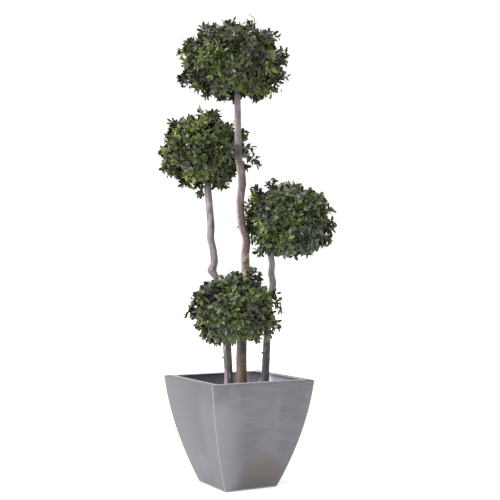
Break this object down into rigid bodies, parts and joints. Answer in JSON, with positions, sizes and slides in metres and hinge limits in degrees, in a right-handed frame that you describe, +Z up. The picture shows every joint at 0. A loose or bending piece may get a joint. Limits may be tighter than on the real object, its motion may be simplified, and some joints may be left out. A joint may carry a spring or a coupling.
{
  "type": "potted preserved pittosporum",
  "caption": "Tall indoor plant: clipped balls of small green leaves on bare, slightly crooked woody stems, standing in a square metal pot with bulging, tapering sides.",
  "frame": {"origin": "centre of the pot's flat underside", "axes": "+Z up along the stems, X and Y along the pot's sides"},
  "size_m": [0.6417, 0.6652, 1.8194],
  "materials": {
    "pot_metal": "brushed, cloudy",
    "potting_fill": "rough",
    "bark": "matt bark",
    "foliage": "glossy leaves"
  },
  "bodies": {
    "root": {"pot": "pot_metal", "fill": "potting_fill", "stem_centre": "bark", "stem_left": "bark", "stem_right": "bark", "stem_front": "bark", "crown_top": "foliage", "crown_left": "foliage", "crown_right": "foliage", "crown_front": "foliage"}
  },
  "joints": []
}
